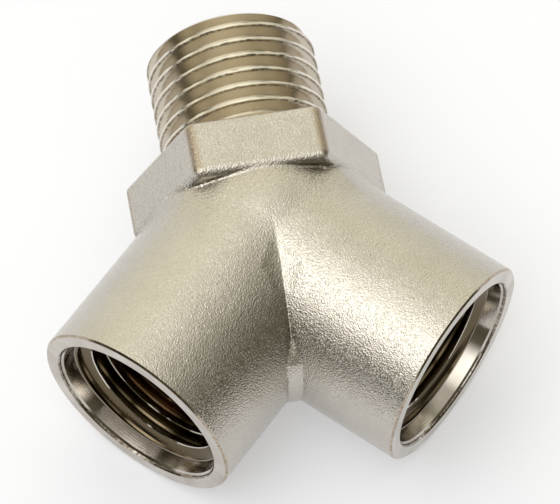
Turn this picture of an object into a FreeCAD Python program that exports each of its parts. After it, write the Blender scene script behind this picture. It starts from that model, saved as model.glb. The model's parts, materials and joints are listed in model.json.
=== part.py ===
import FreeCAD, Part
import math
import os
import Sketcher

# Y-shaped brass pipe fitting, one hot forging with machined threads.
# Frame: +Y runs along the male thread to its tip, +Z is up, +X is to the right.
# The origin is the centre of the hexagon's top face, where the male thread begins.
# The three axes meet at the junction, which is below the origin on the Y axis.

doc = FreeCAD.newDocument("y_fitting")

# ---------------------------------------------------------------- sizes (mm, degrees)
SIZES = (
    # pipe thread, parallel, nominal quarter inch, 19 turns to the inch
    ("thread_major", 13.157),
    ("thread_minor", 11.445),
    ("thread_pitch", 1.337),
    ("thread_flat", 0.223),
    ("thread_overcut", 0.18),
    ("thread_fit", 0.05),
    # male spigot
    ("spigot_length", 10.4),
    ("spigot_tip_chamfer", 0.5),
    ("spigot_relief_diameter", 11.0),
    ("spigot_relief_width", 1.5),
    ("spigot_first_groove", -0.602),
    ("spigot_mouth_chamfer", 0.35),
    # hexagon
    ("hex_flats", 17.0),
    ("hex_height", 4.6),
    ("hex_corner_round", 0.7),
    ("hex_above_junction", 2.4),
    # barrels
    ("barrel_below_flat", 0.25),
    ("port_reach", 16.9),
    ("port_angle", 45.0),
    ("barrel_edge_chamfer", 0.12),
    # port bores, measured from the mouth
    ("mouth_diameter", 14.2),
    ("mouth_chamfer", 0.35),
    ("recess_diameter", 13.7),
    ("recess_floor_diameter", 13.3),
    ("recess_depth", 1.35),
    ("bore_depth", 10.4),
    ("port_thread_depth", 9.4),
    ("left_first_groove", 0.3),
    ("right_first_groove", 0.97),
    ("drill_point_half_angle", 59.0),
    # water way through the middle
    ("passage_diameter", 8.0),
    # cutting tools run past the metal by this much
    ("run_out", 1.0),
)

sheet = doc.addObject("Spreadsheet::Sheet", "sizes")
for row, (name, value) in enumerate(SIZES, start=1):
    sheet.set("A%d" % row, name)
    sheet.set("B%d" % row, str(value))
    sheet.setAlias("B%d" % row, name)
doc.recompute()

SECTORS = 12
UPRIGHT = FreeCAD.Placement(
    FreeCAD.Vector(0, 0, 0), FreeCAD.Rotation(FreeCAD.Vector(1, 0, 0), 90)
)


def outline(name, corners, placement):
    """Closed polygon whose corners are pairs of formulas, (across, along)."""
    sketch = doc.addObject("Sketcher::SketchObject", name)
    sketch.Placement = placement
    count = len(corners)
    spots = []
    for index in range(count):
        turn = 2 * math.pi * index / count
        spots.append(FreeCAD.Vector(10 * math.cos(turn), 10 * math.sin(turn), 0))
    for index in range(count):
        line = Part.LineSegment(spots[index], spots[(index + 1) % count])
        sketch.addGeometry(line, False)
    for index in range(count):
        joined = Sketcher.Constraint("Coincident", index, 2, (index + 1) % count, 1)
        sketch.addConstraint(joined)
    for index, formulas in enumerate(corners):
        for kind, formula in zip(("DistanceX", "DistanceY"), formulas):
            rule = Sketcher.Constraint(kind, -1, 1, index, 1, 1.0)
            number = sketch.addConstraint(rule)
            label = "corner_%d_%s" % (index + 1, kind)
            sketch.renameConstraint(number, label)
            sketch.setExpression("Constraints." + label, formula)
    return sketch


def turned(name, corners):
    """Solid of revolution about Z, made of equal sectors that stay marked on its faces."""
    sketch = outline(name + "_section", corners, UPRIGHT)
    sectors = []
    for index in range(SECTORS):
        sector = doc.addObject("Part::Revolution", "%s_sector_%d" % (name, index + 1))
        sector.Source = sketch
        sector.Axis = FreeCAD.Vector(0, 0, 1)
        sector.Base = FreeCAD.Vector(0, 0, 0)
        sector.Angle = 360.0 / SECTORS
        sector.Solid = True
        sector.Placement = FreeCAD.Placement(
            FreeCAD.Vector(0, 0, 0),
            FreeCAD.Rotation(FreeCAD.Vector(0, 0, 1), index * 360.0 / SECTORS),
        )
        sectors.append(sector)
    whole = doc.addObject("Part::MultiFuse", name)
    whole.Shapes = sectors
    whole.Refine = False
    return whole


def thread_groove(name, radius_inner, radius_outer, half_inner, half_outer, start, height):
    """Right-hand helical V groove about Z; its half widths are given at two radii."""
    helix = doc.addObject("Part::Helix", name + "_path")
    helix.setExpression("Pitch", "sizes.thread_pitch")
    helix.setExpression("Height", height)
    helix.setExpression("Radius", "sizes.thread_minor / 2")
    helix.SegmentLength = 1
    helix.setExpression("Placement.Base.z", start)
    corners = (
        (radius_inner, "%s - (%s)" % (start, half_inner)),
        (radius_outer, "%s - (%s)" % (start, half_outer)),
        (radius_outer, "%s + (%s)" % (start, half_outer)),
        (radius_inner, "%s + (%s)" % (start, half_inner)),
    )
    section = outline(name + "_section", corners, UPRIGHT)
    doc.recompute()
    groove = doc.addObject("Part::Sweep", name)
    groove.Sections = [section]
    edges = ["Edge%d" % (index + 1) for index in range(len(helix.Shape.Edges))]
    groove.Spine = (helix, edges)
    groove.Solid = True
    groove.Frenet = True
    return groove


def boolean(kind, name, base, tool):
    """Two-body boolean that keeps the sector marks on its faces."""
    result = doc.addObject(kind, name)
    result.Base = base
    result.Tool = tool
    result.Refine = False
    return result


# Half the groove's width where it meets the crest, and what the flank adds past it.
CREST_HALF = "(sizes.thread_pitch - sizes.thread_flat) / 2"
FLANK_RUN = "(sizes.thread_pitch - 2 * sizes.thread_flat) / (sizes.thread_major - sizes.thread_minor)"
WIDE_HALF = CREST_HALF + " + sizes.thread_overcut * " + FLANK_RUN
ROOT_HALF = "sizes.thread_flat / 2"
# The barrels and the neck lie a small step inside the hexagon's flats.
BARREL_RADIUS = "(sizes.hex_flats / 2 - sizes.barrel_below_flat)"


# ---------------------------------------------------------------- male spigot
def build_male_thread():
    """Threaded spigot, turned about Z with its seat on the hexagon at Z = 0."""
    top = "sizes.spigot_length"
    crest = "sizes.thread_major / 2"
    bore = "sizes.passage_diameter / 2"
    relief = "sizes.spigot_relief_diameter / 2"
    slope = "(sizes.thread_major - sizes.spigot_relief_diameter) / 2"
    corners = (
        (bore, "0"),
        (relief, "0"),
        (relief, "sizes.spigot_relief_width - " + slope),
        (crest, "sizes.spigot_relief_width"),
        (crest, top + " - sizes.spigot_tip_chamfer"),
        (crest + " - sizes.spigot_tip_chamfer", top),
        (bore + " + sizes.spigot_mouth_chamfer", top),
        (bore, top + " - sizes.spigot_mouth_chamfer"),
    )
    blank = turned("spigot_blank", corners)
    groove = thread_groove(
        "spigot_groove",
        "sizes.thread_minor / 2",
        "sizes.thread_major / 2 + sizes.thread_overcut",
        ROOT_HALF,
        WIDE_HALF,
        "sizes.spigot_first_groove",
        "sizes.spigot_length + 2 * sizes.thread_pitch",
    )
    spigot = boolean("Part::Cut", "male_thread", blank, groove)
    spigot.Placement = FreeCAD.Placement(
        FreeCAD.Vector(0, 0, 0), FreeCAD.Rotation(FreeCAD.Vector(1, 0, 0), -90)
    )
    return spigot


# ---------------------------------------------------------------- hexagon and neck
def build_hex_collar():
    """Spanner hexagon with the short neck that fills the top of the Y."""
    body = doc.addObject("PartDesign::Body", "hexagon")
    prism = doc.addObject("PartDesign::AdditivePrism", "hexagon_prism")
    body.addObject(prism)
    prism.Polygon = 6
    prism.setExpression("Circumradius", "sizes.hex_flats / 2 / cos(30 deg)")
    prism.setExpression("Height", "sizes.hex_height")
    body.Tip = prism
    doc.recompute()
    upright_edges = []
    for number, edge in enumerate(prism.Shape.Edges, start=1):
        ends = [vertex.Point for vertex in edge.Vertexes]
        if abs(ends[0].z - ends[1].z) > 1:
            upright_edges.append("Edge%d" % number)
    rounds = doc.addObject("PartDesign::Fillet", "hexagon_corner_rounds")
    body.addObject(rounds)
    rounds.Base = (prism, upright_edges)
    rounds.setExpression("Radius", "sizes.hex_corner_round")
    body.Tip = rounds
    body.Placement = FreeCAD.Placement(FreeCAD.Vector(0, 0, 0), FreeCAD.Rotation())
    body.setExpression("Placement.Base.z", "-sizes.hex_height")

    neck = doc.addObject("Part::Cylinder", "neck_round")
    neck.setExpression("Radius", BARREL_RADIUS)
    neck.setExpression("Height", "sizes.hex_above_junction")
    neck.setExpression("Placement.Base.z", "-sizes.hex_height - sizes.hex_above_junction")
    junction = "-sizes.hex_height - sizes.hex_above_junction"
    half_top = "sizes.hex_above_junction * tan(90 deg - sizes.port_angle * 1 deg / 2)"
    corners = (
        ("0", junction),
        (half_top, "-sizes.hex_height"),
        ("-" + half_top, "-sizes.hex_height"),
    )
    wedge_face = outline("neck_wedge_section", corners, UPRIGHT)
    wedge = doc.addObject("Part::Extrusion", "neck_wedge")
    wedge.Base = wedge_face
    wedge.DirMode = "Normal"
    wedge.Symmetric = True
    wedge.Solid = True
    wedge.setExpression("LengthFwd", BARREL_RADIUS + " * 4")
    neck_part = boolean("Part::Common", "neck", neck, wedge)
    solid = boolean("Part::Fuse", "hexagon_and_neck", body, neck_part)
    passage = doc.addObject("Part::Cylinder", "hexagon_passage")
    passage.setExpression("Radius", "sizes.passage_diameter / 2")
    passage.setExpression(
        "Height", "sizes.hex_height + sizes.hex_above_junction + 2 * sizes.run_out"
    )
    passage.setExpression(
        "Placement.Base.z", junction + " - sizes.run_out"
    )
    collar = boolean("Part::Cut", "hex_collar", solid, passage)
    collar.Placement = FreeCAD.Placement(
        FreeCAD.Vector(0, 0, 0), FreeCAD.Rotation(FreeCAD.Vector(1, 0, 0), -90)
    )
    return collar


# ---------------------------------------------------------------- ports
def build_port(side, turn_over):
    """Barrel with a threaded bore along Z from the junction, inner side toward +X."""
    mouth = "sizes.port_reach"
    radius = BARREL_RADIUS
    barrel_corners = (
        ("0", "0"),
        (radius, "0"),
        (radius, mouth + " - sizes.barrel_edge_chamfer"),
        (radius + " - sizes.barrel_edge_chamfer", mouth),
        ("0", mouth),
    )
    barrel_section = outline(side + "_barrel_section", barrel_corners, UPRIGHT)
    barrel = doc.addObject("Part::Revolution", side + "_barrel")
    barrel.Source = barrel_section
    barrel.Axis = FreeCAD.Vector(0, 0, 1)
    barrel.Angle = 360
    barrel.Solid = True

    # The barrel is kept between two mitre planes and the underside of the hexagon.
    half_top = "sizes.hex_above_junction * tan(90 deg - sizes.port_angle * 1 deg / 2)"
    reach = "(sizes.port_reach + sizes.run_out)"
    corners = (
        ("0", "0"),
        (reach + " * tan(sizes.port_angle * 1 deg)", reach),
        ("-%s * tan(sizes.port_angle * 1 deg)" % reach, reach),
        (
            "-%s - 2 * %s * cos(sizes.port_angle * 1 deg)" % (half_top, radius),
            "sizes.hex_above_junction + 2 * %s * sin(sizes.port_angle * 1 deg)" % radius,
        ),
        ("-" + half_top, "sizes.hex_above_junction"),
    )
    keep_face = outline(side + "_keep_section", corners, UPRIGHT)
    keep = doc.addObject("Part::Extrusion", side + "_keep")
    keep.Base = keep_face
    keep.DirMode = "Normal"
    keep.Symmetric = True
    keep.Solid = True
    keep.setExpression("LengthFwd", BARREL_RADIUS + " * 4")
    solid = boolean("Part::Common", side + "_mitred_barrel", barrel, keep)

    recess = "sizes.recess_diameter / 2"
    recess_floor = "sizes.recess_floor_diameter / 2"
    bore = "sizes.thread_minor / 2"
    passage = "sizes.passage_diameter / 2"
    lead = (
        "(sizes.recess_floor_diameter - sizes.thread_minor) / 2"
        " / tan(sizes.drill_point_half_angle * 1 deg)"
    )
    floor = mouth + " - sizes.bore_depth"
    point = "(sizes.thread_minor - sizes.passage_diameter) / 2 / tan(sizes.drill_point_half_angle * 1 deg)"
    bore_corners = (
        ("0", "-sizes.run_out"),
        (passage, "-sizes.run_out"),
        (passage, floor + " - " + point),
        (bore, floor),
        (bore, mouth + " - sizes.recess_depth - " + lead),
        (recess_floor, mouth + " - sizes.recess_depth"),
        (recess, mouth + " - sizes.mouth_chamfer"),
        ("sizes.mouth_diameter / 2", mouth),
        ("sizes.mouth_diameter / 2", mouth + " + sizes.run_out"),
        ("0", mouth + " + sizes.run_out"),
    )
    cutter = turned(side + "_bore", bore_corners)
    bored = boolean("Part::Cut", side + "_bored_barrel", solid, cutter)
    groove = thread_groove(
        side + "_groove",
        "sizes.thread_minor / 2 - sizes.thread_overcut",
        "sizes.thread_major / 2 + sizes.thread_fit",
        WIDE_HALF,
        ROOT_HALF,
        mouth + " - sizes.port_thread_depth + sizes.%s_first_groove" % side,
        "sizes.port_thread_depth",
    )
    port = boolean("Part::Cut", side + "_port", bored, groove)
    # Z goes to the port's own direction and X to the inner side, then the pair is
    # completed by half a turn about the male thread's axis.
    angle = math.radians(sheet.get("port_angle"))
    along = FreeCAD.Vector(-math.sin(angle), -math.cos(angle), 0)
    inner = FreeCAD.Vector(math.cos(angle), -math.sin(angle), 0)
    across = along.cross(inner)
    facing = FreeCAD.Rotation(inner, across, along, "ZXY")
    if turn_over:
        facing = FreeCAD.Rotation(FreeCAD.Vector(0, 1, 0), 180).multiply(facing)
    port.Placement = FreeCAD.Placement(FreeCAD.Vector(0, 0, 0), facing)
    port.setExpression(
        "Placement.Base.y", "-sizes.hex_height - sizes.hex_above_junction"
    )
    return port


nodes = (
    build_male_thread(),
    build_hex_collar(),
    build_port("left", False),
    build_port("right", True),
)
doc.recompute()

# ---------------------------------------------------------------- check and write
for item in doc.Objects:
    if "Invalid" in item.State or "Error" in item.State:
        raise RuntimeError(item.Name + " failed: " + str(item.State))

os.makedirs("parts", exist_ok=True)
for node in nodes:
    shape = node.Shape
    if shape.isNull() or not shape.isValid():
        raise RuntimeError(node.Label + " has no valid shape")
    if len(shape.Solids) != 1:
        raise RuntimeError("%s has %d solids" % (node.Label, len(shape.Solids)))
    shape.exportStep("parts/%s.step" % node.Label)
    box = shape.BoundBox
    print(
        "%-12s volume %8.2f  x %.2f..%.2f  y %.2f..%.2f  z %.2f..%.2f  faces %d"
        % (
            node.Label, shape.Volume, box.XMin, box.XMax, box.YMin, box.YMax,
            box.ZMin, box.ZMax, len(shape.Faces),
        )
    )
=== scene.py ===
import json
import math

import bmesh
import bpy
import numpy as np
from mathutils import Matrix, Vector


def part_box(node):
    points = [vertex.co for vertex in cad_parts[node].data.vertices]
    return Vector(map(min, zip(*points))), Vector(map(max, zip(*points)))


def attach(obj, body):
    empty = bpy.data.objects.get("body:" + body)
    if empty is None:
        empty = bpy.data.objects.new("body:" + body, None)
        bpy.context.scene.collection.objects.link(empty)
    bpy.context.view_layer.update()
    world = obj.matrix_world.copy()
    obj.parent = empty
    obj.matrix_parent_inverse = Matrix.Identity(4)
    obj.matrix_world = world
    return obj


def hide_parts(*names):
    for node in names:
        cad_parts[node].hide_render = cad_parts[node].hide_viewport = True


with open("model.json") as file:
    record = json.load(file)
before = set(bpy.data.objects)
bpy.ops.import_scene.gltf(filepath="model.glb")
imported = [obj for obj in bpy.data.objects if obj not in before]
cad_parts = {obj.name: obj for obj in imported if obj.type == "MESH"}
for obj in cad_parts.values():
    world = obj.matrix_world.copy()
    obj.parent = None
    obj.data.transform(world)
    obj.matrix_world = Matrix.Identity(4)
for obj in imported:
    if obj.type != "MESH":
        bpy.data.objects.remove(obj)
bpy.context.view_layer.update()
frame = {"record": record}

# A Y-shaped pipe fitting: one brass forging under nickel plate, with machined threads.
# The row frame has +Y along the male thread, +Z up and its origin on the hexagon's top.
# The junction is where the axes of the three ways meet, below the hexagon.
# Sizes are in millimetres where nothing else is said; meshes are written in metres.

MM = 0.001
WELD = 3e-7                   # points closer than this, in metres, become one

# ---------------------------------------------------------------- sizes from the frame
COLLAR_LOW, COLLAR_HIGH = (np.array(corner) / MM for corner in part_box("hex_collar"))
THREAD_HIGH = np.array(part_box("male_thread")[1]) / MM
MOUNTS = {mount["name"]: mount for mount in frame["record"]["mounts"]}

ORIGIN = np.zeros(3)
JUNCTION = np.array((0.0, COLLAR_LOW[1], 0.0))
UP = np.array((0.0, 0.0, 1.0))
MALE_AXIS = np.array((0.0, 1.0, 0.0))
LEFT_AXIS = np.array(MOUNTS["left_port"]["axis"])
RIGHT_AXIS = np.array(MOUNTS["right_port"]["axis"])
PORT_FACE = np.array(MOUNTS["port_face_left"]["pos_m"]) / MM
PORT_REACH = float((PORT_FACE - JUNCTION) @ LEFT_AXIS)
HEX_HALF = float(COLLAR_HIGH[2])
HEX_TOP = float(COLLAR_HIGH[1] - JUNCTION[1])
SPIGOT_LENGTH = float(THREAD_HIGH[1])
CREST = MOUNTS["male_thread"]["dims"]["r_mm"]
BORE_CREST = MOUNTS["left_port"]["dims"]["r_mm"]
PASSAGE = MOUNTS["water_way"]["dims"]["r_mm"]

# ---------------------------------------------------------------- forged form
# Hexagon; heights are above the junction.
HEX_UNDERSIDE = 2.4
HEX_CORNER_ROUND = 0.7
HEX_EDGE_ROUND = 0.35
HEX_LOWER_ROUND = 0.75
COLLAR_RADIUS = 0.2           # fillet under the hexagon
COS_30 = math.cos(math.radians(30))
TAN_30 = math.tan(math.radians(30))

# Barrels, neck and the ball where they meet.
BARREL = HEX_HALF - 0.25      # radius of the barrels
NECK_RADIUS = BARREL - 0.12
NECK_BLEND = 0.35             # reach of the neck's blend along the top of the barrels
NECK_FLANK_BLEND = 1.8        # what the blend gains on their flanks
NECK_FLANK_TOP = 0.1          # the flanks start this far below the top
NECK_FLANK_FADE = 1.6
JUNCTION_BALL = 8.45
BALL_BLEND = 0.25
TRUNK_OVERLAP = 0.6           # the trunk ends this far inside the hexagon

# Crease between the barrels: a thin flat on top, a wide one in the crotch.
CREASE_FLAT = 0.03
CROTCH_FLAT = 0.78
CROTCH_STRIP_TOP = 4.5
CROTCH_STRIP_FADE = 1.5

# Sharp V that runs down the crease; start and end are along Y from the junction.
GROOVE_START = -2.5
GROOVE_END = -9.0
GROOVE_SPREAD = 0.5           # half width gained per millimetre from the start
GROOVE_CLOSING = 0.45         # half width lost per millimetre to the end
GROOVE_HALF = 1.9
GROOVE_STEEPER = 0.11
GROOVE_WALL = 3.0             # slope beside the V, which keeps it off the barrels
GROOVE_SIDE = 0.5             # the barrels are followed to this far from their sides
GROOVE_LEAST = 0.05           # keeps the slope finite at the apex
GROOVE_NARROWEST = 0.01       # half width at which the V starts and ends
GROOVE_SCALE = 0.9            # from height above the surface to distance

# Mesh of the forged skin; its bounds are from the junction.
NET_SPACING = 0.16
NET_LOW = np.array((-24.0, -24.0, -10.0))
NET_HIGH = np.array((24.0, 9.0, 10.0))
NET_PASSES = 4                # steps that bring its points onto the surface
SKIN_OVERRUN = 1.0            # the skin ends this far beyond the port faces

# ---------------------------------------------------------------- machined form
PITCH = 1.337
THREAD_DEPTH = 0.856
TURNED_SEGMENTS = 192
HELIX_STEPS = 240             # per turn
WOBBLE_KERNEL = np.array((1.0, 2.0, 2.0, 1.0)) / 6.0

# Ports, from the mouth inwards.
RIM_CHAMFER = 0.14
RIM_CHAMFER_RUN = 0.6         # the chamfer's tool goes on this far past the barrel
MOUTH_RADIUS = 7.1
MOUTH_LIP = ((0.10, 0.20), (0.08, 0.11))    # inwards and down from the mouth's edge
MOUTH_CHAMFER = 0.35
RECESS_RADIUS = 6.85
RECESS_FLOOR_RADIUS = 6.65
RECESS_DEPTH = 1.35
PORT_BORE_DEPTH = 10.4
DRILL_SLOPE = math.tan(math.radians(59))
TOOL_PAST_JUNCTION = 1.0
TOOL_PAST_BARREL = 5.0
TOOL_PAST_FACE = 6.0
PORT_FLANK = math.tan(math.radians(23.0))
PORT_CREST_FLAT = 0.10
PORT_CREST_BEVEL = 0.07
PORT_ROOT_HALF = 0.06
PORT_RUN_OUT = 0.02           # the groove's tool starts this far out in the open bore
PORT_RAGGED = 0.016
PORT_TURNS = 7.3
PORT_SEED = 3
GROOVE_DEPTHS = {"left_port": 9.1, "right_port": 8.43}    # start below the port's face

# Male spigot, from the hexagon to the tip.
RELIEF_RADIUS = 5.5
RELIEF_TAPER_LOW = 0.42
RELIEF_TAPER_HIGH = 1.5
TIP_CHAMFER = 0.5
TIP_MOUTH_CHAMFER = 0.35
MALE_FLANK = math.tan(math.radians(27.5))
MALE_CREST_FLAT = 0.19
MALE_GROOVE_ABOVE = 0.1       # the groove's tool reaches this far above the crest
MALE_EDGE_BELOW = 0.08        # its sides are smooth from this far below the crest
MALE_ROOT_HALF = 0.12
MALE_RAGGED = 0.085
MALE_GROOVE_START = -0.602
MALE_TURNS = 10.0
MALE_SEED = 1

# Outlines that cut the skin into pieces: corners are (x, y) from the junction.
FAR = 40.0
PRISM_HALF_HEIGHT = 20.0
MITRE_X = HEX_UNDERSIDE * math.tan(math.radians(67.5))
KEEP = {
    "left_port": (
        (0, 0), (0, -FAR), (-FAR, -FAR), (-FAR, HEX_UNDERSIDE), (-MITRE_X, HEX_UNDERSIDE),
    ),
    "right_port": (
        (0, 0), (MITRE_X, HEX_UNDERSIDE), (FAR, HEX_UNDERSIDE), (FAR, -FAR), (0, -FAR),
    ),
    "hex_collar": (
        (0, 0), (-MITRE_X, HEX_UNDERSIDE), (-FAR, HEX_UNDERSIDE), (-FAR, HEX_TOP),
        (FAR, HEX_TOP), (FAR, HEX_UNDERSIDE), (MITRE_X, HEX_UNDERSIDE),
    ),
}
PASSAGE_LOW, PASSAGE_HIGH = -2.0, 12.0      # ends of the collar's drill, from the junction

# What counts as forged skin when the faces are sorted.
SKIN_NEAR = 0.02              # a point this near the skin lies on it
SKIN_AGREES = 0.75            # cosine between a face and the skin's normal
SAME_WAY = 0.999              # cosine of a face that looks along the axis
TURNED_AGREES = 0.9           # cosine between a face and its turned normal
OUTER_BELOW_BARREL = 0.9      # a port is forged outside this much less than its radius
OUTER_BELOW_FACE = 0.7        # and lower than this below its face
FORGED_SLOT, MACHINED_SLOT = 0, 1

# ---------------------------------------------------------------- looks
# Reliefs of the surfaces: scales per metre, heights in metres.
DIMPLE_SCALE = 11000.0
DIMPLE_SMOOTHNESS = 0.7
DIMPLE_HEIGHT = 0.000022
GRAIN_SCALE = 7400.0
GRAIN_HEIGHT = 0.000046
SWELL_SCALE = 900.0
SWELL_HEIGHT = 0.00002
RING_SCALE = 9000.0
RING_HEIGHT = 0.0000022
PORE_SCALE = 14000.0
PORE_HEIGHT = 0.000003

# Patterns of the colours, per metre.
MOTTLE_SCALE = 330.0
SPECK_SCALE = 6500.0
STAIN_SCALE = 420.0
FLECK_SCALE = 4000.0
NOISE_RANGE = (0.3, 0.7)      # noise hardly leaves this range

FORGED_TINTS = ((0.55, 0.515, 0.458), (0.60, 0.565, 0.508))
DARK_GRAIN = (0.37, 0.34, 0.295)
DARK_GRAIN_MOST = 0.3
# Painted shade: a dark olive laid into the forging's inner corners, such as under the hexagon,
# by ambient occlusion.
CORNER_PAINTED_SHADE = (0.13, 0.105, 0.06)
CORNER_REACH = 1.6
CORNER_SAMPLES = 6
CORNER_OPEN, CORNER_CLOSED = 0.85, 0.45     # ambient occlusion without and with full painted shade
CORNER_MOST = 0.85
MACHINED_TINTS = ((0.42, 0.38, 0.33), (0.60, 0.565, 0.52))
MALE_TINTS = ((0.57, 0.51, 0.415), (0.63, 0.575, 0.485))
# Brass of the bore: its brass tint is the metal's own, its near-black darkness is painted shade
# of the bore.
BORE_BRASS_AND_SHADE = (0.125, 0.098, 0.06)
# Painted glint: reddish patches deep in the bore, coloured like red brass.
PAINTED_RED_GLINT = (0.20, 0.085, 0.03)
WORN_EDGE = (0.11, 0.08, 0.05)
WORN_BRASS = (0.30, 0.20, 0.10)
# Painted highlight: a near-white colour laid on the thread crests.
PAINTED_CREST_HIGHLIGHT = (0.82, 0.79, 0.72)
CHIPS = (0.1, 1.0)            # least and most of the worn brass along an edge
FORGED_SHEEN = (0.09, 0.14)   # roughness, as in the next two
PORT_SHEEN = (0.06, 0.12)
MALE_SHEEN = (0.15, 0.21)

# Fades of wear, of the bore's painted shade, of its painted glint and of the painted crest
# highlights:
# where each starts, where it is full, and its share there. Those of the bore are along the
# port's axis from the junction, the others are radii about the way.
BORE_TOP = PORT_REACH - RECESS_DEPTH + 0.1
BORE_SHADE_FADE = (BORE_TOP, BORE_TOP - 0.2, 1.0)
RED_GLINT_FADE = (BORE_TOP - 2.0, BORE_TOP - 3.0, 0.8)
CREST_HIGHLIGHT_DEPTH_FADE = (BORE_TOP - 3.4, BORE_TOP - 0.9, 1.0)
RIM_FADE = (BARREL - 0.22, BARREL - 0.1, 0.9)
LIP_INNER_FADE = (MOUTH_RADIUS - 0.17, MOUTH_RADIUS - 0.1, 1.0)
LIP_OUTER_FADE = (MOUTH_RADIUS + 0.06, MOUTH_RADIUS - 0.02, 1.0)
PORT_CREST_HIGHLIGHT_FADE = (BORE_CREST + 0.1, BORE_CREST + 0.02, 0.8)
MALE_EDGE_INNER_FADE = (CREST - 0.24, CREST - 0.12, 1.0)
MALE_EDGE_OUTER_FADE = (CREST - 0.02, CREST - 0.09, 1.0)
MALE_CREST_HIGHLIGHT_FADE = (CREST - 0.05, CREST - 0.01, 0.6)
HEX_CORNER = (HEX_HALF - HEX_CORNER_ROUND) / COS_30 + HEX_CORNER_ROUND
HEX_EDGE_FADE = (HEX_CORNER - 0.22, HEX_CORNER - 0.02, 0.5)
HEX_LOW_Y = JUNCTION[1] + HEX_UNDERSIDE
HEX_LOW_FADE = (HEX_LOW_Y - 0.1, HEX_LOW_Y + 0.4, 1.0)      # along Y

# ---------------------------------------------------------------- camera and light
# Angles are in degrees; the target is from the junction.
CAMERA_AZIMUTH = 11.12
CAMERA_ELEVATION = 60.97
CAMERA_ROLL = 1.29
CAMERA_DISTANCE = 300.0
CAMERA_TARGET = (1.12, 0.79, -2.06)
CAMERA_LENS = 253.77
SENSOR_WIDTH = 36.0
CAMERA_CLIPS = (0.01, 10.0)                 # metres

KEY_PLACE = (-0.25, -0.12, 0.45)            # metres
KEY_SIZE = 0.3                              # metres
KEY_POWER = 0.25                            # watts

# Soft panels of the studio: azimuth, elevation, full inside, gone outside, colour. A
# negative colour is a dark gap: it takes light from the panels that it lies over.
PANELS = (
    (-2.0, 28.0, 18.0, 58.0, (1.02, 1.00, 0.84)),
    (-116.0, 60.0, 19.0, 40.0, (1.30, 1.30, 1.28)),
    (-175.0, 77.0, 21.0, 57.0, (0.64, 0.63, 0.59)),
    (168.8, 61.0, 3.0, 8.0, (-0.80, -0.80, -0.80)),
    (-53.0, 19.0, 3.0, 16.0, (0.75, 0.71, 0.60)),
    (57.0, 21.0, 7.0, 24.0, (0.50, 0.48, 0.40)),
    (-119.0, 9.0, 9.0, 24.0, (-0.10, -0.09, -0.07)),
)
STUDIO_BASE = (0.15, 0.138, 0.10)

FLOOR_SIZE = 4.0                            # metres
FLOOR_COLOUR = (0.615, 0.625, 0.68)
FLOOR_GLOW = 0.365                          # for camera, glossy and transmission rays


# ---------------------------------------------------------------- distance fields
def ray_distance(points, direction):
    """Distance from a half line that starts at the junction."""
    along = np.clip(points @ direction, 0.0, None)
    return np.linalg.norm(points - along[:, None] * direction, axis=1)


def round_union(first, second, radius):
    """Union of two distance fields with a fillet of this radius in the corner."""
    gap_first = np.clip(radius - first, 0.0, None)
    gap_second = np.clip(radius - second, 0.0, None)
    inside = np.minimum(first, second)
    return np.maximum(radius, inside) - np.hypot(gap_first, gap_second)


def round_intersection(first, second, radius):
    """Intersection of two distance fields with a rounded edge."""
    over_first = np.clip(first + radius, 0.0, None)
    over_second = np.clip(second + radius, 0.0, None)
    outside = np.maximum(first, second)
    return np.minimum(-radius, outside) + np.hypot(over_first, over_second)


def chamfer_union(first, second, size):
    """Union of two distance fields with a flat across the corner."""
    return np.minimum(np.minimum(first, second), (first + second - size) * math.sqrt(0.5))


def soft_union(first, second, reach):
    """Union of two distance fields that blends where they differ by less than reach."""
    share = np.clip(0.5 + 0.5 * (second - first) / reach, 0.0, 1.0)
    return second * (1 - share) + first * share - reach * share * (1 - share)


def hexagon_outline(points, inradius):
    """Distance to a hexagon across X and Z, with two flats level and two corners on X."""
    across = np.abs(points[:, 0])
    rise = np.abs(points[:, 2])
    fold = 2 * np.minimum(rise * 0.5 - across * COS_30, 0.0)
    across = across + fold * COS_30
    rise = rise - fold * 0.5
    half_side = inradius * TAN_30
    across = across - np.clip(across, -half_side, half_side)
    rise = rise - inradius
    return np.hypot(across, rise) * np.sign(rise)


def hexagon_distance(points):
    """Hexagonal block with rounded edges, from the underside to the top face."""
    sides = hexagon_outline(points, HEX_HALF - HEX_CORNER_ROUND) - HEX_CORNER_ROUND
    block = round_intersection(sides, points[:, 1] - HEX_TOP, HEX_EDGE_ROUND)
    return round_intersection(block, HEX_UNDERSIDE - points[:, 1], HEX_LOWER_ROUND)


def barrel_height(y):
    """Height of the plain crease between the barrels at this place along Y."""
    return np.sqrt(BARREL ** 2 - np.clip(y ** 2 / 2, None, (BARREL - GROOVE_SIDE) ** 2))


def crease_groove(points):
    """Field that is positive above the V's surface; -1 where there is no V."""
    y = points[:, 1]
    side = np.abs(points[:, 0])
    height = np.abs(points[:, 2])
    opening = np.clip(GROOVE_START - y, 0.0, None) * GROOVE_SPREAD
    closing = np.clip((y - GROOVE_END) * GROOVE_CLOSING, 0.0, GROOVE_HALF)
    half = np.minimum(opening, closing)
    edge = barrel_height(y + half)
    slope = (edge - barrel_height(y)) / (half + GROOVE_LEAST) + GROOVE_STEEPER
    surface = edge - np.where(side < half, slope, GROOVE_WALL) * (half - side)
    return np.where(half > GROOVE_NARROWEST, (height - surface) * GROOVE_SCALE, -1.0)


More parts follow.
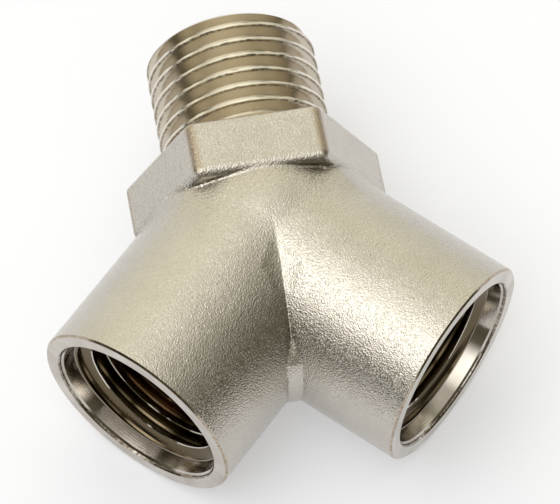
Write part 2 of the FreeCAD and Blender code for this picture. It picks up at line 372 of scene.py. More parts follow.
def forged_distance(points):
    """Distance field of the forged outside; points are relative to the junction."""
    left = ray_distance(points, LEFT_AXIS) - BARREL
    right = ray_distance(points, RIGHT_AXIS) - BARREL
    height = np.abs(points[:, 2])
    low_part = np.clip((CROTCH_STRIP_TOP - height) / CROTCH_STRIP_FADE, 0.0, 1.0)
    flat = CREASE_FLAT + (CROTCH_FLAT - CREASE_FLAT) * low_part
    barrels = chamfer_union(left, right, flat)
    barrels = np.maximum(barrels, crease_groove(points))
    ball = np.linalg.norm(points, axis=1) - JUNCTION_BALL
    neck = ray_distance(points, MALE_AXIS) - NECK_RADIUS
    flank = np.clip((BARREL - NECK_FLANK_TOP - height) / NECK_FLANK_FADE, 0.0, 1.0)
    trunk = soft_union(barrels, neck, NECK_BLEND + NECK_FLANK_BLEND * flank)
    trunk = soft_union(trunk, ball, BALL_BLEND)
    trunk = np.maximum(trunk, points[:, 1] - (HEX_UNDERSIDE + TRUNK_OVERLAP))
    return round_union(trunk, hexagon_distance(points), COLLAR_RADIUS)


def closed_skin_distance(points):
    """The forged form, closed a little beyond the port faces."""
    left = points @ LEFT_AXIS - (PORT_REACH + SKIN_OVERRUN)
    right = points @ RIGHT_AXIS - (PORT_REACH + SKIN_OVERRUN)
    return np.maximum(forged_distance(points), np.maximum(left, right))


def gradient(field, points, step=0.01):
    """Unit normals of a distance field by central differences."""
    slopes = []
    for axis in range(3):
        shift = np.zeros(3)
        shift[axis] = step
        slopes.append(field(points + shift) - field(points - shift))
    normals = np.stack(slopes, axis=1)
    lengths = np.linalg.norm(normals, axis=1, keepdims=True)
    return normals / np.maximum(lengths, 1e-9)


# ---------------------------------------------------------------- surface net
def sample_field(field, low, high, spacing):
    """Values of a field on an even grid, worked out one sheet at a time."""
    counts = np.ceil((high - low) / spacing).astype(int) + 1
    axes = [low[i] + spacing * np.arange(counts[i]) for i in range(3)]
    values = np.empty(counts, dtype=np.float32)
    yy, zz = np.meshgrid(axes[1], axes[2], indexing="ij")
    for row, x in enumerate(axes[0]):
        sheet = np.stack((np.full(yy.size, x), yy.ravel(), zz.ravel()), axis=1)
        values[row] = field(sheet).reshape(yy.shape)
    return values


def cell_points(values, places, corners):
    """Mean place of the surface's crossings of each cell's edges, in grid steps."""
    total = np.zeros((len(places), 3))
    weight = np.zeros(len(places))
    for start in corners:
        for axis in range(3):
            if start[axis] == 1:
                continue
            end = list(start)
            end[axis] = 1
            a = values[tuple((places + start).T)]
            b = values[tuple((places + end).T)]
            crossed = (a < 0) != (b < 0)
            part = np.where(crossed, a / np.where(crossed, a - b, 1.0), 0.0)
            spot = np.array(start, dtype=float)[None, :].repeat(len(places), axis=0)
            spot[:, axis] += part
            total += spot * crossed[:, None]
            weight += crossed
    return places + total / weight[:, None]


def net_quads(inside, number):
    """One face for each grid edge that passes through the surface."""
    quads = []
    for axis in range(3):
        u = (axis + 1) % 3
        v = (axis + 2) % 3
        first = [slice(None)] * 3
        second = [slice(None)] * 3
        first[axis] = slice(0, -1)
        second[axis] = slice(1, None)
        enters = inside[tuple(first)] & ~inside[tuple(second)]
        leaves = ~inside[tuple(first)] & inside[tuple(second)]
        for flips, forward in ((enters, True), (leaves, False)):
            edge = np.argwhere(flips)
            ring = []
            for du, dv in ((0, 0), (-1, 0), (-1, -1), (0, -1)):
                cell = edge.copy()
                cell[:, u] += du
                cell[:, v] += dv
                ring.append(number[tuple(cell.T)])
            face = np.stack(ring, axis=1)
            quads.append(face if forward else face[:, ::-1])
    return np.concatenate(quads)


def surface_net(field, low, high, spacing):
    """Closed quad mesh of a distance field's zero surface, by naive surface nets."""
    values = sample_field(field, low, high, spacing)
    inside = values < 0
    corners = [(i, j, k) for i in (0, 1) for j in (0, 1) for k in (0, 1)]
    cells = tuple(count - 1 for count in values.shape)
    filled = np.zeros(cells, dtype=np.int8)
    for i, j, k in corners:
        filled += inside[i:i + cells[0], j:j + cells[1], k:k + cells[2]]
    active = (filled > 0) & (filled < len(corners))
    places = np.argwhere(active)
    number = np.full(cells, -1, dtype=np.int64)
    number[active] = np.arange(len(places))
    points = low + spacing * cell_points(values, places, corners)
    for _ in range(NET_PASSES):
        points = points - field(points)[:, None] * gradient(field, points)
    return points, net_quads(inside, number)


# ---------------------------------------------------------------- meshes
def mesh_object(name, points, faces):
    """Blender object from points in millimetres, given in the row frame."""
    mesh = bpy.data.meshes.new(name)
    places = (np.asarray(points) * MM).tolist()
    mesh.from_pydata(places, [], [list(map(int, face)) for face in faces])
    mesh.validate()
    item = bpy.data.objects.new(name, mesh)
    bpy.context.scene.collection.objects.link(item)
    return item


def outward(item):
    """Turn all faces of a closed mesh outwards."""
    work = bmesh.new()
    work.from_mesh(item.data)
    bmesh.ops.recalc_face_normals(work, faces=work.faces)
    work.to_mesh(item.data)
    work.free()


def weld(item):
    """Join points that lie in the same place, and close the slivers that this leaves."""
    work = bmesh.new()
    work.from_mesh(item.data)
    bmesh.ops.remove_doubles(work, verts=work.verts, dist=WELD)
    bmesh.ops.dissolve_degenerate(work, edges=work.edges, dist=WELD)
    work.to_mesh(item.data)
    work.free()


def remove(item):
    """Delete an object and its mesh."""
    mesh = item.data
    bpy.data.objects.remove(item)
    bpy.data.meshes.remove(mesh)


def combine(item, tool, operation):
    """Boolean of one closed mesh with another, applied at once; it uses up the tool."""
    modifier = item.modifiers.new("cut", "BOOLEAN")
    modifier.operation = operation
    modifier.solver = "MANIFOLD"
    modifier.object = tool
    graph = bpy.context.evaluated_depsgraph_get()
    mesh = bpy.data.meshes.new_from_object(item.evaluated_get(graph), depsgraph=graph)
    item.modifiers.clear()
    old = item.data
    item.data = mesh
    bpy.data.meshes.remove(old)
    remove(tool)


# ---------------------------------------------------------------- turned and swept tools
def frame_of(axis, inner):
    """Right-handed frame of a way: columns are its inner side, its cross side, its axis."""
    return np.stack((inner, np.cross(axis, inner), axis), axis=1)


LEFT_INNER = np.array((-LEFT_AXIS[1], LEFT_AXIS[0], 0.0))
LEFT_FRAME = frame_of(LEFT_AXIS, LEFT_INNER)
RIGHT_FRAME = np.diag((-1.0, 1.0, -1.0)) @ LEFT_FRAME       # half a turn about Y
MALE_FRAME = frame_of(MALE_AXIS, np.array((1.0, 0.0, 0.0)))
WAYS = {
    "left_port": (LEFT_FRAME, JUNCTION),
    "right_port": (RIGHT_FRAME, JUNCTION),
    "hex_collar": (MALE_FRAME, JUNCTION),
    "male_thread": (MALE_FRAME, ORIGIN),
}


def turned(name, profile, way, base):
    """Closed solid of revolution; each point of the profile is (radius, along)."""
    segments = TURNED_SEGMENTS
    turns = np.arange(segments) * 2 * math.pi / segments
    points = []
    rings = []
    for radius, along in profile:
        if radius < 1e-6:
            rings.append([len(points)])
            points.append((0.0, 0.0, along))
            continue
        rings.append(list(range(len(points), len(points) + segments)))
        for turn in turns:
            points.append((radius * math.cos(turn), radius * math.sin(turn), along))
    faces = []
    for lower, upper in zip(rings[:-1], rings[1:]):
        for index in range(segments):
            following = (index + 1) % segments
            if len(lower) == 1:
                faces.append((lower[0], upper[following], upper[index]))
            elif len(upper) == 1:
                faces.append((lower[index], lower[following], upper[0]))
            else:
                faces.append((lower[index], lower[following], upper[following], upper[index]))
    points = np.array(points) @ way.T + base
    return mesh_object(name, points, faces)


def smooth_wobble(count, seed):
    """Two columns of smoothed random numbers, for a groove's lower and upper edge."""
    wobble = np.random.default_rng(seed).normal(0.0, 1.0, (count, 2))
    for side in range(2):
        wobble[:, side] = np.convolve(wobble[:, side], WOBBLE_KERNEL, mode="same")
    return wobble


def helix_groove(name, profile, start, turns, way, base, seed):
    """Closed tool swept along a right-hand helix; profile is (radius, along, raggedness)."""
    count = int(round(turns * HELIX_STEPS)) + 1
    wobble = smooth_wobble(count, seed)
    points = []
    for index in range(count):
        turn = 2 * math.pi * index / HELIX_STEPS
        shift = start + PITCH * index / HELIX_STEPS
        for radius, along, rough in profile:
            edge = wobble[index, 0 if along < 0 else 1] * rough
            points.append((
                radius * math.cos(turn), radius * math.sin(turn), shift + along + edge,
            ))
    width = len(profile)
    faces = []
    for index in range(count - 1):
        for corner in range(width):
            after = (corner + 1) % width
            faces.append((
                index * width + corner,
                index * width + after,
                (index + 1) * width + after,
                (index + 1) * width + corner,
            ))
    faces.append(tuple(range(width))[::-1])
    faces.append(tuple((count - 1) * width + corner for corner in range(width)))
    points = np.array(points) @ way.T + base
    item = mesh_object(name, points, faces)
    outward(item)
    return item


def both_sides(half):
    """A groove's whole profile: its mirrored half, then the half itself back again."""
    lower = [(radius, -along, rough) for radius, along, rough in half]
    return lower + list(half)[::-1]


def prism(name, corners):
    """Upright prism from corners (x, y) given relative to the junction."""
    count = len(corners)
    levels = (-PRISM_HALF_HEIGHT, PRISM_HALF_HEIGHT)
    points = [(x, y, level) for level in levels for x, y in corners]
    faces = [tuple(range(count)), tuple(range(count, 2 * count))]
    for index in range(count):
        after = (index + 1) % count
        faces.append((index, after, count + after, count + index))
    item = mesh_object(name, np.array(points) + JUNCTION, faces)
    outward(item)
    return item


# ---------------------------------------------------------------- tools of the ways
def port_tool(name, way):
    """Everything a lathe takes out of a port: face, rim, mouth, recess, bore and passage."""
    face = PORT_REACH
    floor = face - PORT_BORE_DEPTH
    lead = (RECESS_FLOOR_RADIUS - BORE_CREST) / DRILL_SLOPE
    point = (BORE_CREST - PASSAGE) / DRILL_SLOPE
    profile = (
        (0.0, -TOOL_PAST_JUNCTION),
        (PASSAGE, -TOOL_PAST_JUNCTION),
        (PASSAGE, floor - point),
        (BORE_CREST, floor),
        (BORE_CREST, face - RECESS_DEPTH - lead),
        (RECESS_FLOOR_RADIUS, face - RECESS_DEPTH),
        (RECESS_RADIUS, face - MOUTH_CHAMFER),
        *((MOUTH_RADIUS - inwards, face - down) for inwards, down in MOUTH_LIP),
        (MOUTH_RADIUS, face),
        (BARREL - RIM_CHAMFER, face),
        (BARREL + RIM_CHAMFER_RUN, face - RIM_CHAMFER - RIM_CHAMFER_RUN),
        (BARREL + TOOL_PAST_BARREL, face - RIM_CHAMFER - RIM_CHAMFER_RUN),
        (BARREL + TOOL_PAST_BARREL, face + TOOL_PAST_FACE),
        (0.0, face + TOOL_PAST_FACE),
    )
    tool = turned(name, profile, way, JUNCTION)
    outward(tool)
    return tool


def port_groove(name, way, depth):
    """Helical groove of the internal thread, with bevelled crests and a rounded root."""
    wide = (PITCH - PORT_CREST_FLAT) / 2
    neck = wide - PORT_CREST_BEVEL
    flank_depth = THREAD_DEPTH - (PORT_CREST_BEVEL + PORT_ROOT_HALF)
    profile = both_sides((
        (BORE_CREST - PORT_RUN_OUT, wide + PORT_RUN_OUT, PORT_RAGGED),
        (BORE_CREST + PORT_CREST_BEVEL, neck, 0.0),
        (BORE_CREST + THREAD_DEPTH - PORT_ROOT_HALF, neck - flank_depth * PORT_FLANK, 0.0),
        (BORE_CREST + THREAD_DEPTH, PORT_ROOT_HALF, 0.0),
    ))
    start = PORT_REACH - depth
    return helix_groove(name, profile, start, PORT_TURNS, way, JUNCTION, PORT_SEED)


def collar_tool():
    """Drill of the water way through the hexagon."""
    profile = (
        (0.0, PASSAGE_LOW),
        (PASSAGE, PASSAGE_LOW),
        (PASSAGE, PASSAGE_HIGH),
        (0.0, PASSAGE_HIGH),
    )
    tool = turned("collar_passage", profile, MALE_FRAME, JUNCTION)
    outward(tool)
    return tool


def male_blank():
    """Turned spigot before its thread is cut."""
    top = SPIGOT_LENGTH
    profile = (
        (PASSAGE, 0.0),
        (RELIEF_RADIUS, 0.0),
        (RELIEF_RADIUS, RELIEF_TAPER_LOW),
        (CREST, RELIEF_TAPER_HIGH),
        (CREST, top - TIP_CHAMFER),
        (CREST - TIP_CHAMFER, top),
        (PASSAGE + TIP_MOUTH_CHAMFER, top),
        (PASSAGE, top - TIP_MOUTH_CHAMFER),
        (PASSAGE, 0.0),
    )
    blank = turned("male_thread_piece", profile, MALE_FRAME, ORIGIN)
    weld(blank)
    outward(blank)
    return blank


def male_groove():
    """Helical groove of the external thread; only its edges at the crest are ragged."""
    wide = (PITCH - MALE_CREST_FLAT) / 2
    profile = both_sides((
        (CREST - THREAD_DEPTH, MALE_ROOT_HALF, 0.0),
        (CREST - MALE_EDGE_BELOW, wide - MALE_EDGE_BELOW * MALE_FLANK, 0.0),
        (CREST + MALE_GROOVE_ABOVE, wide + MALE_GROOVE_ABOVE * MALE_FLANK, MALE_RAGGED),
    ))
    return helix_groove(
        "male_groove", profile, MALE_GROOVE_START, MALE_TURNS, MALE_FRAME, ORIGIN, MALE_SEED,
    )


# ---------------------------------------------------------------- faces and normals
def read(items, name, width, kind=float):
    """One property of all of a mesh's vertices, faces or corners, as an array."""
    values = np.empty(len(items) * width, dtype=kind)
    items.foreach_get(name, values)
    return values.reshape(-1, width) if width > 1 else values


def row_dots(first, second):
    """Dot product of each row with the same row of the other array."""
    return np.einsum("ij,ij->i", first, second)


def forged_faces(name, on_skin, centres, along_axis):
    """Which faces are forged; centres are in the way's frame."""
    top_face = (along_axis > SAME_WAY) & name.startswith("hex_collar")
    outer = np.hypot(centres[:, 0], centres[:, 1]) > BARREL - OUTER_BELOW_BARREL
    outer &= centres[:, 2] < PORT_REACH - OUTER_BELOW_FACE
    return (on_skin | (outer & name.endswith("port_piece"))) & ~top_face


def lathe_normals(points, centres, face_normals, corner_points, corner_faces):
    """Corner normals of turned faces: each face's normal, swung round the axis to the corner.

    Points, centres and normals are in the way's frame, whose third axis is the lathe's.
    """
    centre_radius = np.hypot(centres[:, 0], centres[:, 1])
    outwards = face_normals[:, 0] * centres[:, 0] + face_normals[:, 1] * centres[:, 1]
    sweep = face_normals[:, 1] * centres[:, 0] - face_normals[:, 0] * centres[:, 1]
    outwards = (outwards / centre_radius)[corner_faces]
    sweep = (sweep / centre_radius)[corner_faces]
    point_radius = np.clip(np.hypot(points[:, 0], points[:, 1]), 1e-6, None)
    cosine = (points[:, 0] / point_radius)[corner_points]
    sine = (points[:, 1] / point_radius)[corner_points]
    return np.stack((
        outwards * cosine - sweep * sine,
        outwards * sine + sweep * cosine,
        face_normals[corner_faces, 2],
    ), axis=1)


def dress(item, way, base):
    """Set each face's material and each corner's normal from the form that made it."""
    mesh = item.data
    points = read(mesh.vertices, "co", 3) / MM
    centres = read(mesh.polygons, "center", 3) / MM
    face_normals = read(mesh.polygons, "normal", 3)
    corner_points = read(mesh.loops, "vertex_index", 1, np.int64)
    sizes = read(mesh.polygons, "loop_total", 1, np.int64)
    corner_faces = np.repeat(np.arange(len(sizes)), sizes)
    own_normals = face_normals[corner_faces]
    centre_local = (centres - base) @ way

    skin = gradient(forged_distance, points - JUNCTION)[corner_points]
    near = np.abs(forged_distance(points - JUNCTION)) < SKIN_NEAR
    good = near[corner_points] & (row_dots(skin, own_normals) > SKIN_AGREES)
    bad_corners = np.bincount(corner_faces, weights=~good, minlength=len(sizes))
    along_axis = face_normals @ way[:, 2]
    forged = forged_faces(item.name, bad_corners == 0, centre_local, along_axis)
    on_forged = forged[corner_faces]

    turned_normals = lathe_normals(
        (points - base) @ way, centre_local, face_normals @ way, corner_points, corner_faces,
    ) @ way.T
    skin_normals = np.where(good[:, None], skin, own_normals)
    normals = np.where(on_forged[:, None], skin_normals, turned_normals)
    # A mitre plane's face is flat, so it keeps its own normal.
    flat = (np.abs(row_dots(turned_normals, own_normals)) < TURNED_AGREES) & ~on_forged
    normals[flat] = own_normals[flat]
    normals /= np.linalg.norm(normals, axis=1, keepdims=True)
    slots = np.where(forged, FORGED_SLOT, MACHINED_SLOT)
    mesh.polygons.foreach_set("material_index", slots.astype(np.int32))
    mesh.shade_smooth()
    mesh.normals_split_custom_set(normals.tolist())
    mesh.update()


# ---------------------------------------------------------------- shader nodes
def texture_noise(tree, vector, scale, detail=2.0):
    """Value of a noise texture on a vector."""
    noise = tree.nodes.new("ShaderNodeTexNoise")
    noise.inputs["Scale"].default_value = scale
    noise.inputs["Detail"].default_value = detail
    tree.links.new(vector, noise.inputs["Vector"])
    return noise.outputs["Fac"]


def vector_math(tree, operation, value, fixed=None):
    """Vector maths node on a link and, where the operation takes one, a fixed vector."""
    maths = tree.nodes.new("ShaderNodeVectorMath")
    maths.operation = operation
    tree.links.new(value, maths.inputs[0])
    if fixed is not None:
        maths.inputs[1].default_value = fixed
    return maths


def remap(tree, noise, low, high):
    """Noise stretched from its usual range to low..high."""
    change = tree.nodes.new("ShaderNodeMapRange")
    change.inputs["From Min"].default_value = NOISE_RANGE[0]
    change.inputs["From Max"].default_value = NOISE_RANGE[1]
    change.inputs["To Min"].default_value = low
    change.inputs["To Max"].default_value = high
    tree.links.new(noise, change.inputs["Value"])
    return change.outputs["Result"]


def step_between(tree, value, start, end, most=1.0):
    """Smooth step from 0 at start to most at end; start and end in millimetres."""
    step = tree.nodes.new("ShaderNodeMapRange")
    step.interpolation_type = "SMOOTHSTEP"
    step.inputs["From Min"].default_value = start * MM
    step.inputs["From Max"].default_value = end * MM
    step.inputs["To Max"].default_value = most
    tree.links.new(value, step.inputs["Value"])
    return step.outputs["Result"]


def product(tree, first, second):
    """Product of two shares."""
    times = tree.nodes.new("ShaderNodeMath")
    times.operation = "MULTIPLY"
    tree.links.new(first, times.inputs[0])
    tree.links.new(second, times.inputs[1])
    return times.outputs["Value"]


def tint_between(tree, noise, first, second):
    """Colour between two colours by a noise value."""
    mix = tree.nodes.new("ShaderNodeMix")
    mix.data_type = "RGBA"
    mix.inputs["A"].default_value = (*first, 1.0)
    mix.inputs["B"].default_value = (*second, 1.0)
    tree.links.new(remap(tree, noise, 0.0, 1.0), mix.inputs["Factor"])
    return mix.outputs["Result"]


def blend_tint(tree, tint, colour, share):
    """Colour that goes from a tint to another colour by a share of 0..1."""
    mix = tree.nodes.new("ShaderNodeMix")
    mix.data_type = "RGBA"
    mix.inputs["B"].default_value = (*colour, 1.0)
    tree.links.new(tint, mix.inputs["A"])
    tree.links.new(share, mix.inputs["Factor"])
    return mix.outputs["Result"]


def relief(tree, height, distance, under=None):
    """Bump of this height in metres, on top of an earlier bump where one is given."""
    bump = tree.nodes.new("ShaderNodeBump")
    bump.inputs["Strength"].default_value = 1.0
    bump.inputs["Distance"].default_value = distance
    tree.links.new(height, bump.inputs["Height"])
    if under is not None:
        tree.links.new(under, bump.inputs["Normal"])
    return bump.outputs["Normal"]


def new_metal(name):
    """Material of bare metal, with its node tree and the object's coordinates."""
    material = bpy.data.materials.new(name)
    material.use_nodes = True
    tree = material.node_tree
    tree.nodes["Principled BSDF"].inputs["Metallic"].default_value = 1.0
    place = tree.nodes.new("ShaderNodeTexCoord").outputs["Object"]
    return material, tree, place


def finish_metal(tree, normal, tint, sheen):
    """Link a surface's relief, colour and roughness to the shader."""
    shader = tree.nodes["Principled BSDF"]
    tree.links.new(normal, shader.inputs["Normal"])
    tree.links.new(tint, shader.inputs["Base Color"])
    tree.links.new(sheen, shader.inputs["Roughness"])


# ---------------------------------------------------------------- forged metal
def hexagon_edges(tree, place):
    """Share of wear on the hexagon's upright edges: far from the male axis, above the neck."""
    out = vector_math(tree, "MULTIPLY", place, (1.0, 0.0, 1.0))
    reach = vector_math(tree, "LENGTH", out.outputs["Vector"])
    split = tree.nodes.new("ShaderNodeSeparateXYZ")
    tree.links.new(place, split.inputs[0])
    worn = step_between(tree, reach.outputs["Value"], *HEX_EDGE_FADE)
    return product(tree, worn, step_between(tree, split.outputs["Y"], *HEX_LOW_FADE))


def painted_corner_shade(tree):
    """Share of painted shade in inner corners, from how closed in the surface is."""
    closed = tree.nodes.new("ShaderNodeAmbientOcclusion")
    closed.samples = CORNER_SAMPLES
    closed.inputs["Distance"].default_value = CORNER_REACH * MM
    share = tree.nodes.new("ShaderNodeMapRange")
    share.inputs["From Min"].default_value = CORNER_OPEN
    share.inputs["From Max"].default_value = CORNER_CLOSED
    share.inputs["To Max"].default_value = CORNER_MOST
    tree.links.new(closed.outputs["AO"], share.inputs["Value"])
    return share.outputs["Result"]


def forged_metal():
    """Nickel on a blasted forging: fine dimples and grain, a mottled colour and sheen, and
    painted shade in its inner corners.
    """
    material, tree, place = new_metal("forged_nickel")
    dimples = tree.nodes.new("ShaderNodeTexVoronoi")
    dimples.feature = "SMOOTH_F1"
    dimples.inputs["Scale"].default_value = DIMPLE_SCALE
    dimples.inputs["Smoothness"].default_value = DIMPLE_SMOOTHNESS
    tree.links.new(place, dimples.inputs["Vector"])
    normal = relief(tree, texture_noise(tree, place, SWELL_SCALE), SWELL_HEIGHT)
    normal = relief(tree, dimples.outputs["Distance"], DIMPLE_HEIGHT, normal)
    normal = relief(tree, texture_noise(tree, place, GRAIN_SCALE), GRAIN_HEIGHT, normal)
    mottle = texture_noise(tree, place, MOTTLE_SCALE, detail=3.0)
    tint = tint_between(tree, mottle, *FORGED_TINTS)
    speck = texture_noise(tree, place, SPECK_SCALE, detail=1.0)
    tint = blend_tint(tree, tint, DARK_GRAIN, remap(tree, speck, 0.0, DARK_GRAIN_MOST))
    tint = blend_tint(tree, tint, WORN_BRASS, hexagon_edges(tree, place))
    # Painted shade: inner corners are darkened where ambient occlusion is strong.
    tint = blend_tint(tree, tint, CORNER_PAINTED_SHADE, painted_corner_shade(tree))
    finish_metal(tree, normal, tint, remap(tree, mottle, *FORGED_SHEEN))
    return material


# ---------------------------------------------------------------- machined metal
def way_place(tree, place, way, base):
    """Distance along a way's axis from its base, and radius about that axis."""
    axis = [float(value) for value in way[:, 2]]
    base_place = [float(value) * MM for value in base]
    offset = vector_math(tree, "SUBTRACT", place, base_place).outputs["Vector"]
    along = vector_math(tree, "DOT_PRODUCT", offset, axis)
    out = vector_math(tree, "CROSS_PRODUCT", offset, axis)
    radius = vector_math(tree, "LENGTH", out.outputs["Vector"])
    return along.outputs["Value"], radius.outputs["Value"]


def port_wear_and_painted_light(tree, tint, along, radius, chips, stains):
    """Colour of a port: brass in the bore darkened as painted shade, a painted reddish glint
    deep in it, worn edges, and painted highlights on the crests near the mouth.
    """
    # Painted shade: the whole bore gets a near-black brass colour.
    tint = blend_tint(tree, tint, BORE_BRASS_AND_SHADE, step_between(tree, along, *BORE_SHADE_FADE))
    # Painted reflection: a reddish glint in stain-shaped patches deep in the bore.
    red_glint = product(tree, step_between(tree, along, *RED_GLINT_FADE), remap(tree, stains, 0.0, 1.0))
    tint = blend_tint(tree, tint, PAINTED_RED_GLINT, red_glint)
    rim = step_between(tree, radius, *RIM_FADE)
    tint = blend_tint(tree, tint, WORN_BRASS, product(tree, rim, chips))
    lip = product(
        tree,
        step_between(tree, radius, *LIP_INNER_FADE),
        step_between(tree, radius, *LIP_OUTER_FADE),
    )
    tint = blend_tint(tree, tint, WORN_EDGE, product(tree, lip, chips))
    # Painted highlight on the crests, fading out deeper in the bore.
    crest = product(
        tree,
        step_between(tree, radius, *PORT_CREST_HIGHLIGHT_FADE),
        step_between(tree, along, *CREST_HIGHLIGHT_DEPTH_FADE),
    )
    return blend_tint(tree, tint, PAINTED_CREST_HIGHLIGHT, crest)


def male_wear_and_crest_highlight(tree, tint, radius, chips):
    """Colour of the male thread: worn brass just under the crests, and painted highlights on
    the crests.
    """
    under = product(
        tree,
        step_between(tree, radius, *MALE_EDGE_INNER_FADE),
        step_between(tree, radius, *MALE_EDGE_OUTER_FADE),
    )
    tint = blend_tint(tree, tint, WORN_EDGE, product(tree, under, chips))
    # Painted highlight on the crests.
    return blend_tint(tree, tint, PAINTED_CREST_HIGHLIGHT, step_between(tree, radius, *MALE_CREST_HIGHLIGHT_FADE))


def machined_metal(name, way, base):
    """Nickel on turned brass: rings round the way's axis, small stains, worn crests, and
    painted shade and highlights.
    """
    port = name.endswith("port")
    material, tree, place = new_metal(name)
    along, radius = way_place(tree, place, way, base)
    ring = tree.nodes.new("ShaderNodeCombineXYZ")
    tree.links.new(along, ring.inputs["X"])
    tree.links.new(radius, ring.inputs["Y"])
    marks = texture_noise(tree, ring.outputs["Vector"], RING_SCALE)
    normal = relief(tree, marks, RING_HEIGHT)
    normal = relief(tree, texture_noise(tree, place, PORE_SCALE), PORE_HEIGHT, normal)
    stains = texture_noise(tree, place, STAIN_SCALE, detail=3.0)
    chips = remap(tree, texture_noise(tree, place, FLECK_SCALE), *CHIPS)
    tint = tint_between(tree, stains, *(MACHINED_TINTS if port else MALE_TINTS))
    if port:
        tint = port_wear_and_painted_light(tree, tint, along, radius, chips, stains)
    else:
        tint = male_wear_and_crest_highlight(tree, tint, radius, chips)
    finish_metal(tree, normal, tint, remap(tree, stains, *(PORT_SHEEN if port else MALE_SHEEN)))
    return material


# ---------------------------------------------------------------- pieces
def forged_piece(skin, node):
    """The node's share of the forged skin."""
    piece = bpy.data.objects.new(node + "_piece", skin.data.copy())
    bpy.context.scene.collection.objects.link(piece)
    combine(piece, prism(node + "_keep", KEEP[node]), "INTERSECT")
    return piece


def shape_pieces():
    """Bare meshes of the four pieces, by node."""
    points, quads = surface_net(closed_skin_distance, NET_LOW, NET_HIGH, NET_SPACING)
    skin = mesh_object("forged_skin", points + JUNCTION, quads)
    outward(skin)
    pieces = {}
    for node in KEEP:
        piece = forged_piece(skin, node)
        if node == "hex_collar":
            combine(piece, collar_tool(), "DIFFERENCE")
        else:
            way = WAYS[node][0]
            combine(piece, port_tool(node + "_tool", way), "DIFFERENCE")
            groove = port_groove(node + "_groove", way, GROOVE_DEPTHS[node])
            combine(piece, groove, "DIFFERENCE")
        pieces[node] = piece
    remove(skin)
    pieces["male_thread"] = male_blank()
    combine(pieces["male_thread"], male_groove(), "DIFFERENCE")
    return pieces


def make_pieces():
    """The four pieces in their metals, each in the place of its solid."""
    pieces = shape_pieces()
    forged = forged_metal()
    for node, piece in pieces.items():
        way, base = WAYS[node]
        piece.data.materials.clear()
        piece.data.materials.append(forged)
        piece.data.materials.append(machined_metal("machined_" + node, way, base))
        weld(piece)
        dress(piece, way, base)
        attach(piece, "root")
        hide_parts(node)


# ---------------------------------------------------------------- stage
def heading(azimuth, elevation):
    """Unit vector from an azimuth (0 is +Y, 90 is +X) and an elevation in degrees."""
    a = math.radians(azimuth)
    e = math.radians(elevation)
    return (math.sin(a) * math.cos(e), math.cos(a) * math.cos(e), math.sin(e))


def set_camera():
    """Camera at the viewing angle, with its small roll."""
    forward = np.array(heading(CAMERA_AZIMUTH, -CAMERA_ELEVATION))
    level = np.cross(forward, UP)
    level /= np.linalg.norm(level)
    above = np.cross(level, forward)
    roll = math.radians(CAMERA_ROLL)
    right = level * math.cos(roll) + above * math.sin(roll)
    up = np.cross(right, forward)
    data = bpy.data.cameras.new("camera")
    data.sensor_width = SENSOR_WIDTH
    data.lens = CAMERA_LENS
    data.clip_start, data.clip_end = CAMERA_CLIPS
    camera = bpy.data.objects.new("camera", data)
    bpy.context.scene.collection.objects.link(camera)
    place = (JUNCTION + np.array(CAMERA_TARGET) - forward * CAMERA_DISTANCE) * MM
    camera.matrix_world = Matrix((
        (right[0], up[0], -forward[0], place[0]),
        (right[1], up[1], -forward[1], place[1]),
        (right[2], up[2], -forward[2], place[2]),
        (0.0, 0.0, 0.0, 1.0),
    ))
    bpy.context.scene.camera = camera


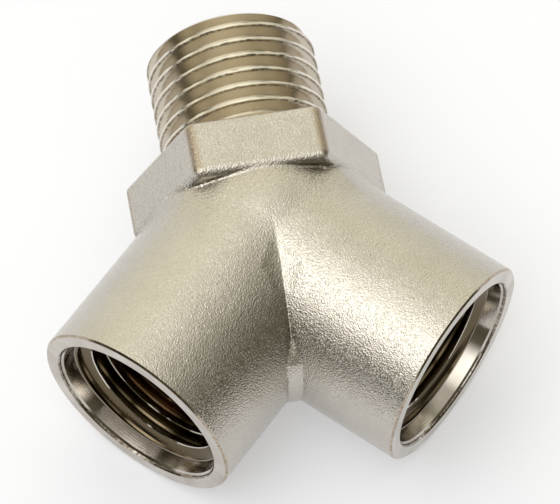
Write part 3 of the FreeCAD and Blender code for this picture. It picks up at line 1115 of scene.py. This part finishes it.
def set_world():
    """Studio of a few soft panels round the object, brighter behind and above."""
    world = bpy.data.worlds.new("studio")
    world.use_nodes = True
    tree = world.node_tree
    background = tree.nodes["Background"]
    place = tree.nodes.new("ShaderNodeTexCoord")
    total = None
    for azimuth, elevation, full, gone, colour in PANELS:
        direction = heading(azimuth, elevation)
        facing = vector_math(tree, "DOT_PRODUCT", place.outputs["Generated"], direction)
        spread = tree.nodes.new("ShaderNodeMapRange")
        spread.interpolation_type = "SMOOTHSTEP"
        spread.inputs["From Min"].default_value = math.cos(math.radians(gone))
        spread.inputs["From Max"].default_value = math.cos(math.radians(full))
        tree.links.new(facing.outputs["Value"], spread.inputs["Value"])
        tint = tree.nodes.new("ShaderNodeVectorMath")
        tint.operation = "SCALE"
        tint.inputs[0].default_value = colour
        tree.links.new(spread.outputs["Result"], tint.inputs["Scale"])
        add = tree.nodes.new("ShaderNodeVectorMath")
        add.operation = "ADD"
        if total is None:
            add.inputs[0].default_value = STUDIO_BASE
        else:
            tree.links.new(total, add.inputs[0])
        tree.links.new(tint.outputs["Vector"], add.inputs[1])
        total = add.outputs["Vector"]
    tree.links.new(total, background.inputs["Color"])
    background.inputs["Strength"].default_value = 1.0
    bpy.context.scene.world = world


def set_floor():
    """Plain pale floor at the level that the part lies on."""
    floor_level = float(COLLAR_LOW[2]) * MM
    bpy.ops.mesh.primitive_plane_add(size=FLOOR_SIZE, location=(0, 0, floor_level))
    floor = bpy.context.object
    floor.name = "floor"
    material = bpy.data.materials.new("pale_floor")
    material.use_nodes = True
    tree = material.node_tree
    shader = tree.nodes["Principled BSDF"]
    shader.inputs["Base Color"].default_value = (*FLOOR_COLOUR, 1.0)
    shader.inputs["Roughness"].default_value = 1.0
    shader.inputs["Specular IOR Level"].default_value = 0.0
    shader.inputs["Emission Color"].default_value = (1.0, 1.0, 1.0, 1.0)
    # The glow is seen by the camera and in reflections only.
    path = tree.nodes.new("ShaderNodeLightPath")
    seen = path.outputs["Is Camera Ray"]
    for ray in ("Is Glossy Ray", "Is Transmission Ray"):
        join = tree.nodes.new("ShaderNodeMath")
        join.operation = "MAXIMUM"
        tree.links.new(seen, join.inputs[0])
        tree.links.new(path.outputs[ray], join.inputs[1])
        seen = join.outputs["Value"]
    glow = tree.nodes.new("ShaderNodeMath")
    glow.operation = "MULTIPLY"
    glow.inputs[1].default_value = FLOOR_GLOW
    tree.links.new(seen, glow.inputs[0])
    tree.links.new(glow.outputs["Value"], shader.inputs["Emission Strength"])
    floor.data.materials.append(material)


def set_key_light():
    """One weak square lamp above the part, to its left."""
    data = bpy.data.lights.new("key", "AREA")
    data.shape = "RECTANGLE"
    data.size = KEY_SIZE
    data.size_y = KEY_SIZE
    data.energy = KEY_POWER
    item = bpy.data.objects.new("key", data)
    item.location = KEY_PLACE
    item.rotation_euler = (-Vector(KEY_PLACE)).to_track_quat("-Z", "Y").to_euler()
    bpy.context.scene.collection.objects.link(item)


set_camera()
set_world()
set_floor()
set_key_light()
make_pieces()

bpy.context.scene.view_settings.view_transform = "Standard"
